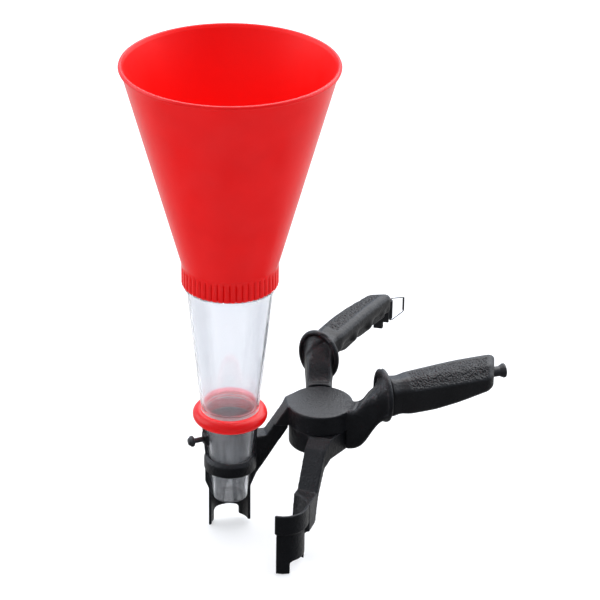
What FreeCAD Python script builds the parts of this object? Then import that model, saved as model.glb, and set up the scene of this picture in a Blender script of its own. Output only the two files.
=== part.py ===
import FreeCAD, Part
import math
import os

# Fluid filling funnel held in crossing spring pliers. Millimetres, +Z up.
# The origin is on the funnel axis at the spout outlet. +X runs from the funnel
# axis to the lever pivot. The clamp lever stands open, on the -Y side.

V = FreeCAD.Vector
UP = V(0, 0, 1)
ORIGIN = V(0, 0, 0)

# ---- levers: plan layout ----
PIVOT_X = 69.3              # funnel axis to pivot axis
OPEN_ANGLE = 57.9           # clamp lever open from its concentric position
UPPER_HUB_R = 25.1
LOWER_HUB_R = 24.0
HUB_TOP = 76.2
UPPER_HUB_BOTTOM = 60.1
LOWER_HUB_TOP = 59.6
HUB_BOTTOM = 42.6
HUB_CLEARANCE = 0.8         # neck to the other lever's disc

# ---- handles, in the lever frame (pivot at 0,0; jaw along -X) ----
GUARD_X = 44.6
GUARD_Y = -20.6
HANDLE_Z = 90.0
HANDLE_TURN = 10.05         # direction of the grip, degrees from +X
NECK_TURN = -24.8           # direction of the neck, degrees from +X
NECK_WIDTH = 20.0
GUARD_WIDTH = 36.0
GUARD_HEIGHT = 41.5
GUARD_HALF = 2.2            # half thickness of the guard flange
GRIP_LENGTH = 89.7          # guard centre to the middle of the grip's end
GRIP_END_SLOPE = 0.41       # the end face leans back towards the palm side
GRIP_ROUND = 3.0            # corner radius of the grip's section
GRIP_FINGER = 9.6           # widest point of the grip on the finger side
GRIP_PALM = -13.0           # and on the palm side
GRIP_RIDGE = -6.0           # outer edge of the flat top
GRIP_KEEL = -0.5            # inner edge of the underside
GRIP_BEVEL = 7.5            # drop of the bevel at the palm side
TANG_INNER = 8.0            # half width on the finger side
TANG_OUTER = 7.0            # half width on the palm side
TANG_LOW = 89.6
TANG_HIGH = 100.2
TANG_END = 84.0

# ---- jaws ----
SKIRT_R = 16.5              # outer radius of the prong skirt
SKIRT_BORE_R = 14.2
PRONG_TIP_OUTER = -28.0     # the prong far from the pivot is the longer one
PRONG_TIP_INNER = -25.4
JAW_CUT = 1.5               # each half tube stops this far short of a half circle
WINDOW_TOP = -17.6
WINDOW_OUTER = 11.4         # window edges either side of the jaw axis
WINDOW_INNER = 8.3
WINDOW_CORNER = 2.5
CUFF_R = 19.2               # stiff half cuff above the skirt
CUFF_BOTTOM = 8.0
CLAMP_CUFF_TOP = 24.0
CLAMP_CUFF_BORE_R = 17.3
BAND_R = 20.0               # closed band round the spout
BAND_BOTTOM = 25.1
BAND_SHOULDER = 33.5
BAND_TOP = 37.0
TROUGH_TOP = 66.4
TROUGH_WALL = 2.2
TROUGH_OVERLAP = 4.0        # degrees the trough wraps past a half turn at each side
SPOUT_FIT = 0.35            # radial gap between the spout and its cradle

# ---- funnel ----
SPOUT_TIP_R = 13.15
SPOUT_TOP_R = 20.3
SPOUT_TOP = 75.4
SPOUT_BORE_R = 11.7
SPOUT_WALL = 1.5
OUTLET_LENGTH = 8.0
CUP_BASE_R = 21.8
CUP_TOP_R = 32.4
CUP_WALL = 1.8
CUP_FLOOR = 78.5
FLANGE_R = 34.4
FLANGE_BOTTOM = 179.8
FLANGE_TOP = 182.4
CUP_NECK_R = 33.3
CUP_NECK_TOP = 197.0
SEAL_TOP = 199.0
COLLAR_R = 35.4
COLLAR_BOTTOM = 182.7
COLLAR_TOP = 200.5
COLLAR_BORE_R = 33.5
THROAT_R = 30.6
RIB_COUNT = 48
RIB_R = 1.0
RIB_LOW = 184.2
RIB_HIGH = 198.6
MOUTH_R = 80.0
RIM_Z = 356.4
RIM_BAND = 3.6
HOPPER_TOP_R = 77.9         # outside of the cone under the lip
HOPPER_WALL = 1.8
RING_R = 23.1               # centre circle of the round section
RING_SECTION_R = 5.3
RING_Z = 71.6
RING_BASE = 66.4

# ---- pivot fastening ----
SHANK_R = 4.0
BUSH_R = 6.5
BUSH_LOW = 49.6
BUSH_HIGH = 67.5
BOLT_HEAD_R = 8.0
BOLT_HEAD_LOW = 44.2
BOLT_HEAD_HIGH = 48.4
BOLT_TIP = 73.0
INSERT_R = 6.2
SPRING_R = 11.5
SPRING_WIRE_R = 1.0
SPRING_LOW = 53.6
SPRING_TURNS = 4
SPRING_PITCH = 3.0
SPRING_LEG = 19.5           # reach of each leg from the pivot axis
SPRING_TURN = -142.0        # bearing of both legs about the pivot, levers open
POCKET_INNER_R = 9.0
POCKET_OUTER_R = 14.0
POCKET_LOW = 52.0
POCKET_HIGH = 68.0
WASHER_INNER_R = 17.0
WASHER_OUTER_R = 22.5

# ---- latch ----
POST_Z = 91.6
POST_INSET = 6.3            # towards the finger side of the grip
POST_START = 92.3           # foot of the post, measured along the grip
POST_NECK_R = 4.0
POST_NECK = 4.8
POST_HEAD_R = 5.6
POST_LENGTH = 9.0
POST_SCREW_R = 1.5
SCREW_REACH = 16.0          # depth of the latch screws behind the grip's end
BRACKET_SCREW_INSET = -2.6
BRACKET_SCREW_HEIGHTS = (91.9, 96.9)
BRACKET_SCREW_HEAD_R = 2.2
BRACKET_BACK = 7.6          # hinge axis behind the grip's end
BRACKET_LOW = 80.4
BRACKET_HIGH = 99.4
BAIL_INSET = 4.6
BAIL_REST_TURN = 14.0       # towards the other handle
BAIL_REACH = 14.9
BAIL_HALF_FOOT = 10.2
BAIL_HALF_BAR = 6.2
BAIL_WIRE_R = 0.9
KNUCKLE_R = 2.1
KNUCKLE_HALF = 8.0

# ---- thumb screw ----
THUMB_TURN = 15.0           # bearing of the screw from -X towards -Y
THUMB_Z = 53.5
THUMB_STEM_R = 2.0
THUMB_INSERT_R = 3.0
THUMB_BOSS_HALF = 3.9
THUMB_SEAT_X = -21.9
THUMB_TIP_X = -20.1         # backed off inside its insert, so that the cup can lift out
THUMB_HEAD_X = -29.6
THUMB_END_X = -34.4
THUMB_HEAD_R = 4.3


# ------------------------------------------------------------------ helpers
def polar(radius, degrees, z=0.0):
    """Point on a circle about the Z axis."""
    angle = math.radians(degrees)
    return V(radius * math.cos(angle), radius * math.sin(angle), z)


def outline(start, *steps):
    """Closed face from straight steps (a, b) and arc steps (mid a, mid b, a, b), in the XZ plane."""
    edges = []
    last = V(start[0], 0, start[1])
    first = last
    for step in steps:
        end = V(step[-2], 0, step[-1])
        if len(step) == 4:
            edges.append(Part.Arc(last, V(step[0], 0, step[1]), end).toShape())
        else:
            edges.append(Part.LineSegment(last, end).toShape())
        last = end
    edges.append(Part.LineSegment(last, first).toShape())
    return Part.Face(Part.Wire(edges))


def turned(start, *steps):
    """Solid of revolution about the Z axis."""
    return outline(start, *steps).revolve(ORIGIN, UP, 360)


def tube(outer, inner, low, high):
    """Plain ring about the Z axis."""
    ring = Part.makeCylinder(outer, high - low, V(0, 0, low))
    return ring.cut(Part.makeCylinder(inner, high - low + 2, V(0, 0, low - 1)))


def wedge(start, end, radius, low, high):
    """Cake slice about the Z axis between two bearings, in degrees."""
    slice_ = Part.makeCylinder(radius, high - low, V(0, 0, low), UP, end - start)
    slice_.rotate(ORIGIN, UP, start)
    return slice_


def box(low, high):
    """Box between two corners."""
    return Part.makeBox(high[0] - low[0], high[1] - low[1], high[2] - low[2], V(*low))


def plan_prism(points, low, high):
    """Vertical prism over a plan outline."""
    corners = [V(x, y, low) for x, y in points]
    face = Part.Face(Part.makePolygon(corners + corners[:1]))
    return face.extrude(V(0, 0, high - low))


def side_prism(points, low, high):
    """Prism along Y over an outline given as (x, z)."""
    corners = [V(x, low, z) for x, z in points]
    face = Part.Face(Part.makePolygon(corners + corners[:1]))
    return face.extrude(V(0, high - low, 0))


def oval(centre, turn, width, height, sharpness):
    """Closed smooth wire in the vertical plane across the bearing turn. Sharpness 2 is an ellipse."""
    across = polar(1.0, turn + 90)
    points = []
    for i in range(24):
        angle = 2 * math.pi * i / 24
        c = math.cos(angle)
        s = math.sin(angle)
        a = math.copysign(abs(c) ** (2.0 / sharpness), c) * width / 2
        b = math.copysign(abs(s) ** (2.0 / sharpness), s) * height / 2
        points.append(centre + across * a + UP * b)
    curve = Part.BSplineCurve()
    curve.interpolate(Points=points, PeriodicFlag=True)
    return Part.Wire([curve.toShape()])


def wire_path(points, radius):
    """Round wire along straight runs, with a ball at each inner corner."""
    solids = []
    for a, b in zip(points, points[1:]):
        run = b - a
        solids.append(Part.makeCylinder(radius, run.Length, a, run))
    for corner in points[1:-1]:
        solids.append(Part.makeSphere(radius, corner))
    return solids[0].multiFuse(solids[1:]).removeSplitter()


def joined(first, *others):
    """One clean solid from touching ones."""
    return first.multiFuse(list(others)).removeSplitter()


def spout_radius(z):
    """Outside radius of the tapered spout at height z."""
    return SPOUT_TIP_R + (SPOUT_TOP_R - SPOUT_TIP_R) * z / SPOUT_TOP


# ------------------------------------------------------------------ lever frame
def handle_point(along, inward=0.0, z=HANDLE_Z):
    """Point in the lever frame, measured along the grip from the guard."""
    direction = polar(1.0, HANDLE_TURN)
    finger_side = polar(1.0, HANDLE_TURN + 90)
    return V(GUARD_X, GUARD_Y, z) + direction * along + finger_side * inward


def place_upper(shape):
    """Lever frame to the part's frame, for the funnel lever."""
    placed = shape.copy()
    placed.translate(V(PIVOT_X, 0, 0))
    return placed


def place_lower(shape):
    """Lever frame to the part's frame, for the clamp lever: mirrored and swung open."""
    placed = shape.mirror(ORIGIN, V(0, 1, 0))
    placed.rotate(ORIGIN, UP, OPEN_ANGLE)
    placed.translate(V(PIVOT_X, 0, 0))
    return placed


# ------------------------------------------------------------------ funnel
def make_hopper():
    """Red cone with a rounded lip, and a ribbed collar that screws on the sight cup."""
    lip_inner = HOPPER_TOP_R - HOPPER_WALL
    lip_low = RIM_Z - RIM_BAND
    body = turned(
        (COLLAR_BORE_R, COLLAR_BOTTOM),
        (COLLAR_R, COLLAR_BOTTOM),
        (COLLAR_R, COLLAR_TOP),
        (HOPPER_TOP_R, lip_low),
        (MOUTH_R - 0.6, lip_low + 0.3),
        (MOUTH_R, lip_low + RIM_BAND / 2, MOUTH_R - 0.9, RIM_Z - 0.2),
        (MOUTH_R - 2.2, RIM_Z, lip_inner, lip_low + 1.2),
        (THROAT_R + 3.2, COLLAR_TOP + 2.4),
        (THROAT_R, COLLAR_TOP + 0.6),
        (THROAT_R, SEAL_TOP),
        (COLLAR_BORE_R, SEAL_TOP),
    )
    ribs = []
    for i in range(RIB_COUNT):
        foot = polar(COLLAR_R - 0.25, 360.0 * i / RIB_COUNT, RIB_LOW)
        ribs.append(Part.makeCylinder(RIB_R, RIB_HIGH - RIB_LOW, foot))
    bore = Part.makeCylinder(COLLAR_BORE_R + 0.4, RIB_HIGH - RIB_LOW, V(0, 0, RIB_LOW))
    rib_ring = Part.makeCompound(ribs).cut(bore)
    return body.fuse(rib_ring.Solids)


def make_seal():
    """Flat rubber ring between the rim of the cup and the shoulder inside the collar."""
    return tube(COLLAR_BORE_R - 0.6, THROAT_R + 0.4, CUP_NECK_TOP, SEAL_TOP)


def make_cup():
    """Clear sight cup, flange and tapered spout in one moulding."""
    return turned(
        (SPOUT_BORE_R, 0),
        (SPOUT_TIP_R, 0),
        (SPOUT_TOP_R, SPOUT_TOP),
        (CUP_BASE_R, SPOUT_TOP),
        (CUP_BASE_R, SPOUT_TOP + 1.2),
        (CUP_TOP_R, FLANGE_BOTTOM),
        (FLANGE_R, FLANGE_BOTTOM),
        (FLANGE_R, FLANGE_TOP),
        (CUP_NECK_R, FLANGE_TOP),
        (CUP_NECK_R, CUP_NECK_TOP),
        (CUP_NECK_R - CUP_WALL, CUP_NECK_TOP),
        (CUP_NECK_R - CUP_WALL, FLANGE_TOP),
        (CUP_TOP_R - CUP_WALL, FLANGE_BOTTOM),
        (CUP_BASE_R - CUP_WALL, CUP_FLOOR),
        (SPOUT_TOP_R - SPOUT_WALL, CUP_FLOOR),
        (SPOUT_BORE_R, OUTLET_LENGTH),
    )


def make_ring():
    """Rounded seat ring under the cup, resting on the cradle."""
    gap = 0.1
    section_half = RING_Z - RING_BASE
    tangent_r = RING_R + math.sqrt(RING_SECTION_R ** 2 - section_half ** 2)
    return turned(
        (spout_radius(RING_BASE) + gap, RING_BASE),
        (tangent_r, RING_BASE),
        (RING_R + RING_SECTION_R, RING_Z, RING_R, RING_Z + RING_SECTION_R),
        (CUP_BASE_R + gap, RING_Z + RING_SECTION_R - 0.1),
        (CUP_BASE_R + gap, SPOUT_TOP),
        (spout_radius(SPOUT_TOP) + gap, SPOUT_TOP),
    )


# ------------------------------------------------------------------ jaws
def half_space(low, high):
    """The outward side of a closed jaw, as a block."""
    return box((-60, JAW_CUT, low), (60, 60, high))


def make_skirt():
    """Half tube with a rounded window that leaves two prongs, about the jaw axis."""
    skirt = tube(SKIRT_R, SKIRT_BORE_R, PRONG_TIP_OUTER, CUFF_BOTTOM)
    skirt = skirt.common(half_space(PRONG_TIP_OUTER, CUFF_BOTTOM))
    skirt = skirt.cut(box((0, -1, PRONG_TIP_OUTER - 1), (60, 60, PRONG_TIP_INNER)))
    corner = WINDOW_CORNER
    bulge = corner - corner * math.sqrt(0.5)
    shoulder = WINDOW_TOP - corner
    window = outline(
        (-WINDOW_OUTER, PRONG_TIP_OUTER - 2),
        (WINDOW_INNER, PRONG_TIP_OUTER - 2),
        (WINDOW_INNER, shoulder),
        (WINDOW_INNER - bulge, WINDOW_TOP - bulge, WINDOW_INNER - corner, WINDOW_TOP),
        (corner - WINDOW_OUTER, WINDOW_TOP),
        (bulge - WINDOW_OUTER, WINDOW_TOP - bulge, -WINDOW_OUTER, shoulder),
    )
    return skirt.cut(window.extrude(V(0, 60, 0)))


def make_upper_jaw():
    """Skirt, half cuff, closed band and open trough of the funnel lever, about the jaw axis."""
    cuff = turned(
        (SKIRT_BORE_R, CUFF_BOTTOM - 3.0),
        (SKIRT_R, CUFF_BOTTOM - 3.0),
        (CUFF_R, CUFF_BOTTOM + 3.6),
        (CUFF_R, BAND_BOTTOM),
        (spout_radius(BAND_BOTTOM) + SPOUT_FIT, BAND_BOTTOM),
        (SKIRT_BORE_R, CUFF_BOTTOM - 1.0),
    ).common(half_space(CUFF_BOTTOM - 4, BAND_BOTTOM + 1))
    band = turned(
        (spout_radius(BAND_BOTTOM) + SPOUT_FIT, BAND_BOTTOM),
        (BAND_R, BAND_BOTTOM),
        (BAND_R, BAND_SHOULDER),
        (spout_radius(BAND_TOP) + SPOUT_FIT + 0.9, BAND_TOP),
        (spout_radius(BAND_TOP) + SPOUT_FIT, BAND_TOP),
    )
    trough = turned(
        (spout_radius(BAND_SHOULDER) + SPOUT_FIT, BAND_SHOULDER),
        (spout_radius(BAND_SHOULDER) + SPOUT_FIT + TROUGH_WALL, BAND_SHOULDER),
        (spout_radius(TROUGH_TOP) + SPOUT_FIT + TROUGH_WALL, TROUGH_TOP),
        (spout_radius(TROUGH_TOP) + SPOUT_FIT, TROUGH_TOP),
    )
    span = wedge(-TROUGH_OVERLAP, 180 + TROUGH_OVERLAP, 40, BAND_SHOULDER - 1, TROUGH_TOP + 1)
    boss = box((THUMB_SEAT_X, -THUMB_BOSS_HALF, THUMB_Z - 4.5), (-12, THUMB_BOSS_HALF, THUMB_Z + 4.5))
    boss.rotate(ORIGIN, UP, THUMB_TURN)
    return joined(make_skirt(), cuff, band, trough.common(span), boss)


def make_lower_jaw():
    """Skirt and open half cuff of the clamp lever, about the jaw axis."""
    cuff = turned(
        (SKIRT_BORE_R, CUFF_BOTTOM - 2.0),
        (SKIRT_R, CUFF_BOTTOM - 2.0),
        (CUFF_R, CUFF_BOTTOM),
        (CUFF_R, CLAMP_CUFF_TOP),
        (CLAMP_CUFF_BORE_R, CLAMP_CUFF_TOP),
        (SKIRT_BORE_R, CUFF_BOTTOM),
    ).common(half_space(CUFF_BOTTOM - 4, CLAMP_CUFF_TOP + 1))
    return joined(make_skirt(), cuff)


def to_jaw(shape):
    """Jaw axis to the lever frame."""
    moved = shape.copy()
    moved.translate(V(-PIVOT_X, 0, 0))
    return moved


# ------------------------------------------------------------------ arms
def make_upper_arm():
    """Bar that drops from the upper hub to the cradle, in the lever frame."""
    plan = plan_prism(
        [(-8, -3.9), (-27, -3.9), (-46, -1.2), (-60, -1.2), (-66, 8), (-58, 17.5),
         (-47, 14.5), (-28, 10.6), (-17, 18.4), (-8, 12)], 0, 90)
    side = side_prism(
        [(0, HUB_TOP), (-25.4, HUB_TOP), (-41.2, 49.5), (-50, 48.2), (-66, 48.2),
         (-66, 10.5), (-52.6, 10.5), (-23.5, 58.0), (-22, UPPER_HUB_BOTTOM), (0, UPPER_HUB_BOTTOM)],
        -30, 30)
    relief = plan_prism([(-20, -1.8), (-32, -0.6), (-50, 0.2), (-50, -9), (-20, -9)], 0, 59)
    return plan.common(side).cut(relief)


def make_lower_arm():
    """Bar that drops from the lower hub to the half cuff, in the lever frame."""
    plan = plan_prism(
        [(-8, 0.6), (-30, 0.8), (-58, 1.4), (-70, 12), (-62, 18.6), (-46, 17.4),
         (-32, 17.2), (-2, 23.9), (0, 10)], 0, 90)
    side = side_prism(
        [(0, LOWER_HUB_TOP), (-23, LOWER_HUB_TOP), (-31, 53.0), (-45.6, CLAMP_CUFF_TOP),
         (-70, CLAMP_CUFF_TOP), (-70, -2.0), (-51.0, -2.0), (-47.6, 1.5), (-45.6, 8.0),
         (-41.7, 20.5), (-36.6, 28.4), (-30.5, 38.0), (-23, HUB_BOTTOM), (0, HUB_BOTTOM)],
        -30, 30)
    return plan.common(side)


# ------------------------------------------------------------------ handles
def neck_section(reach, turn, width, low, high, sharpness):
    """One cross-section of the neck, at a distance from the pivot along the neck."""
    middle = polar(reach, NECK_TURN, (low + high) / 2)
    return oval(middle, turn, width, high - low, sharpness)


def make_neck():
    """Neck from the hub up to the guard flange, with the guard, in the lever frame."""
    neck = Part.makeLoft([
        neck_section(19.0, NECK_TURN, NECK_WIDTH, HUB_BOTTOM + 0.4, HUB_TOP, 9),
        neck_section(23.5, NECK_TURN, NECK_WIDTH, HUB_BOTTOM + 0.4, HUB_TOP + 0.4, 8),
        neck_section(28.0, NECK_TURN, NECK_WIDTH, HUB_BOTTOM + 1.0, 78.0, 7),
        neck_section(35.0, NECK_TURN + 4, NECK_WIDTH, 48.0, 86.6, 5),
        neck_section(40.5, NECK_TURN + 13, NECK_WIDTH + 1, 58.5, 94.2, 4),
        neck_section(44.5, NECK_TURN + 25, NECK_WIDTH + 5, 67.0, 101.0, 3),
        oval(handle_point(0), HANDLE_TURN, GUARD_WIDTH - 3, GUARD_HEIGHT - 3, 2.1),
    ], True, False)
    guard = Part.makeLoft([
        oval(handle_point(-GUARD_HALF), HANDLE_TURN, GUARD_WIDTH - 3, GUARD_HEIGHT - 3, 2.1),
        oval(handle_point(-GUARD_HALF / 2), HANDLE_TURN, GUARD_WIDTH, GUARD_HEIGHT, 2.1),
        oval(handle_point(GUARD_HALF / 2), HANDLE_TURN, GUARD_WIDTH, GUARD_HEIGHT, 2.1),
        oval(handle_point(GUARD_HALF), HANDLE_TURN, GUARD_WIDTH - 4, GUARD_HEIGHT - 4, 2.1),
    ], True, False)
    return neck.fuse(guard)


def make_tang():
    """Bar inside the grip, in the lever frame."""
    bar = box((0, -TANG_OUTER, TANG_LOW), (TANG_END, TANG_INNER, TANG_HIGH))
    bar.rotate(ORIGIN, UP, HANDLE_TURN)
    bar.translate(V(GUARD_X, GUARD_Y, 0))
    return bar


def rounded_wire(corners, radius):
    """Smooth closed wire round a convex polygon of 3D corners, with its corners rounded off."""
    points = []
    count = len(corners)
    for i in range(count):
        corner = corners[i]
        before = (corners[i - 1] - corner).normalize()
        after = (corners[(i + 1) % count] - corner).normalize()
        reach = radius * math.tan((math.pi - before.getAngle(after)) / 2)
        start = corner + before * reach
        end = corner + after * reach
        points += [start, (start + end + corner * 2) * 0.25, end]
    curve = Part.BSplineCurve()
    curve.interpolate(Points=points, PeriodicFlag=True)
    return Part.Wire([curve.toShape()])


def grip_section(along, palm_top, finger_top, finger_low, palm_low):
    """Cross-section of the grip: flat top, long bevels at the palm-side top and finger-side bottom."""
    corners = [(GRIP_FINGER, finger_top), (GRIP_FINGER, finger_low), (GRIP_KEEL, palm_low + 1.0),
               (GRIP_PALM, palm_low), (GRIP_PALM, palm_top - GRIP_BEVEL), (GRIP_RIDGE, palm_top)]
    return rounded_wire([handle_point(along, inward, z) for inward, z in corners], GRIP_ROUND)


def end_block(reach):
    """Block that meets the sloping end face of the grip, reaching outwards or, if negative, inwards."""
    lean = 40 * GRIP_END_SLOPE
    block = plan_prism([(-lean, -40), (reach, -40), (reach, 40), (lean, 40)], 40, 140)
    block.translate(V(GRIP_LENGTH, 0, 0))
    block.rotate(ORIGIN, UP, HANDLE_TURN)
    block.translate(V(GUARD_X, GUARD_Y, 0))
    return block


def make_grip(holes):
    """Moulded sleeve over the tang, in the lever frame. Its end face leans back to the palm side."""
    sleeve = Part.makeLoft([
        grip_section(GUARD_HALF - 1.0, 105.8, 102.4, 88.0, 75.0),
        grip_section(20, 105.6, 103.2, 89.5, 75.9),
        grip_section(40, 105.4, 104.6, 90.5, 77.0),
        grip_section(60, 105.0, 106.2, 91.0, 79.8),
        grip_section(80, 104.6, 107.0, 91.5, 83.6),
        grip_section(100, 104.2, 107.4, 92.0, 87.0),
    ], True, False)
    before = box((-40, -40, 40), (GUARD_HALF, 40, 140))
    before.rotate(ORIGIN, UP, HANDLE_TURN)
    before.translate(V(GUARD_X, GUARD_Y, 0))
    return sleeve.cut([before, end_block(60), make_tang()] + holes)


# ------------------------------------------------------------------ hub
def spring_pocket(low, high):
    """Annular pocket for half of the torsion spring."""
    return tube(POCKET_OUTER_R, POCKET_INNER_R, low, high)


def leg_slot(turn, low, high):
    """Radial slot in a hub for one spring leg."""
    slot = box((SPRING_R - 2, -1.4, low), (SPRING_LEG + 0.6, 1.4, high))
    slot.rotate(ORIGIN, UP, turn)
    return slot


def make_funnel_lever():
    """Upper lever: hub, arm, cradle with its prongs, neck, guard and tang."""
    disc = Part.makeCylinder(UPPER_HUB_R, HUB_TOP - UPPER_HUB_BOTTOM, V(0, 0, UPPER_HUB_BOTTOM))
    disc = disc.makeFillet(0.8, [disc.Edges[0]])
    clearance = Part.makeCylinder(LOWER_HUB_R + HUB_CLEARANCE, UPPER_HUB_BOTTOM - 30, V(0, 0, 30))
    bars = joined(make_neck(), make_upper_arm()).cut(clearance)
    lever = joined(disc, bars, make_tang(), to_jaw(make_upper_jaw()))
    spout_space = turned((0, -1), (spout_radius(-1) + SPOUT_FIT, -1),
                         (spout_radius(TROUGH_TOP + 1) + SPOUT_FIT, TROUGH_TOP + 1), (0, TROUGH_TOP + 1))
    bush_bore = Part.makeCylinder(BUSH_R, BUSH_HIGH - UPPER_HUB_BOTTOM + 1, V(0, 0, UPPER_HUB_BOTTOM - 1))
    insert_bore = Part.makeCylinder(INSERT_R, BOLT_TIP - BUSH_HIGH + 0.8, V(0, 0, BUSH_HIGH))
    lever = lever.cut([
        to_jaw(spout_space), bush_bore, insert_bore,
        spring_pocket(UPPER_HUB_BOTTOM - 1, POCKET_HIGH),
        leg_slot(SPRING_TURN, UPPER_HUB_BOTTOM - 1, POCKET_HIGH - 0.6),
        to_jaw(along_thumb_axis(Part.makeCylinder(THUMB_INSERT_R, 12, V(0, 0, -THUMB_SEAT_X - 12)))),
    ] + post_screw_hole())
    return lever.removeSplitter()


def make_clamp_lever():
    """Lower lever: hub, arm, half cuff with its prongs, neck, guard and tang."""
    disc = Part.makeCylinder(LOWER_HUB_R, LOWER_HUB_TOP - HUB_BOTTOM, V(0, 0, HUB_BOTTOM))
    disc = disc.makeFillet(0.8, [disc.Edges[2]])
    clearance = Part.makeCylinder(UPPER_HUB_R + HUB_CLEARANCE, 40, V(0, 0, LOWER_HUB_TOP))
    bars = joined(make_neck(), make_lower_arm()).cut(clearance)
    lever = joined(disc, bars, make_tang(), to_jaw(make_lower_jaw()))
    cuff_space = turned((0, -1), (SKIRT_BORE_R, -1), (SKIRT_BORE_R, CUFF_BOTTOM),
                        (CLAMP_CUFF_BORE_R, CLAMP_CUFF_TOP), (CLAMP_CUFF_BORE_R, CLAMP_CUFF_TOP + 1),
                        (0, CLAMP_CUFF_TOP + 1))
    lever = lever.cut([
        to_jaw(cuff_space),
        Part.makeCylinder(BUSH_R + 0.05, 30, V(0, 0, BUSH_LOW)),
        Part.makeCylinder(SHANK_R + 0.3, 30, V(0, 0, HUB_BOTTOM - 1)),
        Part.makeCylinder(BOLT_HEAD_R + 0.6, BUSH_LOW - HUB_BOTTOM + 1, V(0, 0, HUB_BOTTOM - 1)),
        spring_pocket(POCKET_LOW, LOWER_HUB_TOP + 1),
        leg_slot(OPEN_ANGLE - SPRING_TURN, POCKET_LOW, LOWER_HUB_TOP + 1),
    ] + bracket_screw_holes())
    return lever.removeSplitter()


def screw_hole(inward, z):
    """Blind hole for a screw through the end of the grip into the tang."""
    start = handle_point(POST_START + 2, inward, z)
    return Part.makeCylinder(POST_SCREW_R, SCREW_REACH + 5, start, polar(-1.0, HANDLE_TURN))


def post_screw_hole():
    """Hole for the latch post's screw."""
    return [screw_hole(POST_INSET, POST_Z)]


def bracket_screw_holes():
    """Holes for the two bracket screws."""
    return [screw_hole(BRACKET_SCREW_INSET, z) for z in BRACKET_SCREW_HEIGHTS]


def make_spring():
    """Torsion spring with one leg in each hub, in the part's frame."""
    height = SPRING_TURNS * SPRING_PITCH
    helix = Part.makeHelix(SPRING_PITCH, height, SPRING_R)
    section = Part.makeCircle(SPRING_WIRE_R, V(SPRING_R, 0, 0), V(0, 1, 0))
    coil = Part.Wire(helix.Edges).makePipeShell([Part.Wire([section])], True, True)
    reach = SPRING_LEG - SPRING_R
    lower_leg = Part.makeCylinder(SPRING_WIRE_R, reach, V(SPRING_R, 0, 0), V(1, 0, 0))
    upper_leg = Part.makeCylinder(SPRING_WIRE_R, reach, V(SPRING_R, 0, height), V(1, 0, 0))
    spring = joined(coil, lower_leg, upper_leg)
    spring.rotate(ORIGIN, UP, SPRING_TURN)
    spring.translate(V(PIVOT_X, 0, SPRING_LOW))
    return spring


def make_pivot_bolt():
    """Shoulder bolt from below with a socket in its head."""
    head = Part.makeCylinder(BOLT_HEAD_R, BOLT_HEAD_HIGH - BOLT_HEAD_LOW, V(0, 0, BOLT_HEAD_LOW))
    head = head.makeFillet(0.8, [head.Edges[2]])
    shank = Part.makeCylinder(SHANK_R, BOLT_TIP - BOLT_HEAD_HIGH, V(0, 0, BOLT_HEAD_HIGH))
    corners = [polar(3.0, 60 * i, BOLT_HEAD_LOW - 1) for i in range(6)]
    socket = Part.Face(Part.makePolygon(corners + corners[:1])).extrude(V(0, 0, 3.6))
    bolt = joined(head, shank).cut(socket)
    bolt.translate(V(PIVOT_X, 0, 0))
    return bolt


def pivot_ring(outer, inner, low, high):
    """Plain ring on the pivot axis."""
    ring = tube(outer, inner, low, high)
    ring.translate(V(PIVOT_X, 0, 0))
    return ring


# ------------------------------------------------------------------ latch
def handle_turned(start, *steps):
    """Solid of revolution about the grip direction; outlines are (radius, along)."""
    solid = turned(start, *steps)
    solid.rotate(ORIGIN, V(0, 1, 0), 90)
    solid.rotate(ORIGIN, UP, HANDLE_TURN)
    return solid


def make_post():
    """Flared latch post with a dished end and a through hole."""
    post = handle_turned(
        (POST_SCREW_R + 0.1, -2), (POST_NECK_R, -2), (POST_NECK_R, POST_NECK - 0.6),
        (POST_HEAD_R, POST_LENGTH - 1.6), (POST_HEAD_R, POST_LENGTH - 0.2),
        (POST_HEAD_R - 0.6, POST_LENGTH), (POST_SCREW_R + 1.6, POST_LENGTH - 3.0),
        (POST_SCREW_R + 0.1, POST_LENGTH - 3.0))
    post.translate(handle_point(POST_START, POST_INSET, POST_Z))
    return post.cut(end_block(-60))


def make_post_screw():
    """Pan head screw through the post into the tang."""
    screw = handle_turned(
        (0, -SCREW_REACH), (POST_SCREW_R, -SCREW_REACH), (POST_SCREW_R, POST_LENGTH - 3.0),
        (POST_SCREW_R + 1.4, POST_LENGTH - 3.0), (POST_SCREW_R + 1.2, POST_LENGTH - 1.4),
        (0, POST_LENGTH - 1.2))
    screw.translate(handle_point(POST_START, POST_INSET, POST_Z))
    return screw


def hinge_point(along, z):
    """Point beside the bail hinge, measured along the grip from the hinge axis."""
    return handle_point(GRIP_LENGTH + BRACKET_BACK + along, BAIL_INSET, z)


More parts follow.
